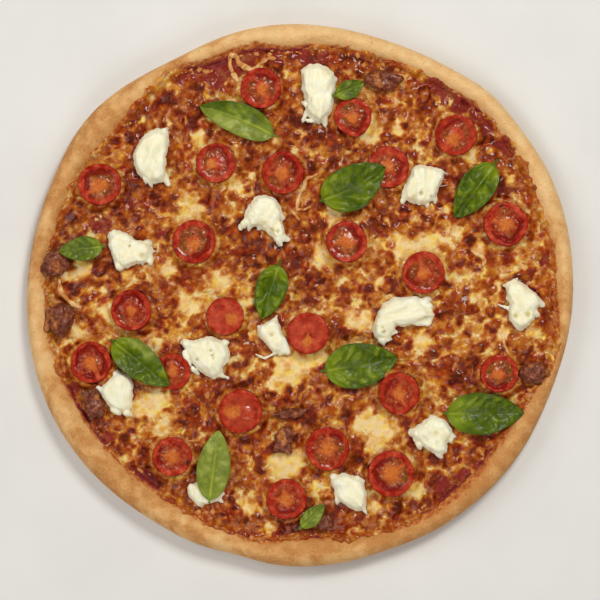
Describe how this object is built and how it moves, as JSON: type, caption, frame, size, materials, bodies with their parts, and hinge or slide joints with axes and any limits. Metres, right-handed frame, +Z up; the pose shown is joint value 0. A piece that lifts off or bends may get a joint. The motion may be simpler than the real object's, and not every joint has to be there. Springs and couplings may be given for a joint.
{
  "type": "margherita pizza",
  "caption": "Whole round pizza with a raised baked rim, melted cheese, cherry tomato halves, torn mozzarella and basil leaves.",
  "frame": {"origin": "middle of the flat underside of the dough, at the middle of the outline", "axes": "+Z up through the toppings, +Y towards the far side and +X towards the right as the pizza is seen from above"},
  "size_m": [0.3068, 0.3048, 0.022],
  "materials": {
    "dough": "baked wheat dough, dry and matt, pale gold with browner edges",
    "sauce": "cooked tomato sauce, moist, dark red",
    "melted_cheese": "melted cheese, oily, pale yellow pools between orange and brown blisters",
    "meat": "browned meat, slightly oily",
    "tomato": "cut cherry tomato, wet, with seed gel",
    "mozzarella": "torn fresh mozzarella, moist, milky white",
    "basil": "fresh basil leaf, waxy, paler underneath"
  },
  "bodies": {
    "root": {"crust": "dough", "sauce": "sauce", "cheese": "melted_cheese", "browned_meat_01": "meat", "browned_meat_02": "meat", "browned_meat_03": "meat", "browned_meat_04": "meat", "browned_meat_05": "meat", "browned_meat_06": "meat", "browned_meat_07": "meat", "browned_meat_08": "meat", "tomato_01": "tomato", "tomato_02": "tomato", "tomato_03": "tomato", "tomato_04": "tomato", "tomato_05": "tomato", "tomato_06": "tomato", "tomato_07": "tomato", "tomato_08": "tomato", "tomato_09": "tomato", "tomato_10": "tomato", "tomato_11": "tomato", "tomato_12": "tomato", "tomato_13": "tomato", "tomato_14": "tomato", "tomato_15": "tomato", "tomato_16": "tomato", "tomato_17": "tomato", "tomato_18": "tomato", "tomato_19": "tomato", "tomato_20": "tomato", "tomato_21": "tomato", "tomato_22": "tomato", "tomato_23": "tomato", "mozzarella_01": "mozzarella", "mozzarella_02": "mozzarella", "mozzarella_03": "mozzarella", "mozzarella_04": "mozzarella", "mozzarella_05": "mozzarella", "mozzarella_06": "mozzarella", "mozzarella_07": "mozzarella", "mozzarella_08": "mozzarella", "mozzarella_09": "mozzarella", "mozzarella_10": "mozzarella", "mozzarella_11": "mozzarella", "mozzarella_12": "mozzarella", "mozzarella_13": "mozzarella", "basil_01": "basil", "basil_02": "basil", "basil_03": "basil", "basil_04": "basil", "basil_05": "basil", "basil_06": "basil", "basil_07": "basil", "basil_08": "basil", "basil_09": "basil", "basil_10": "basil", "basil_11": "basil"}
  },
  "joints": []
}
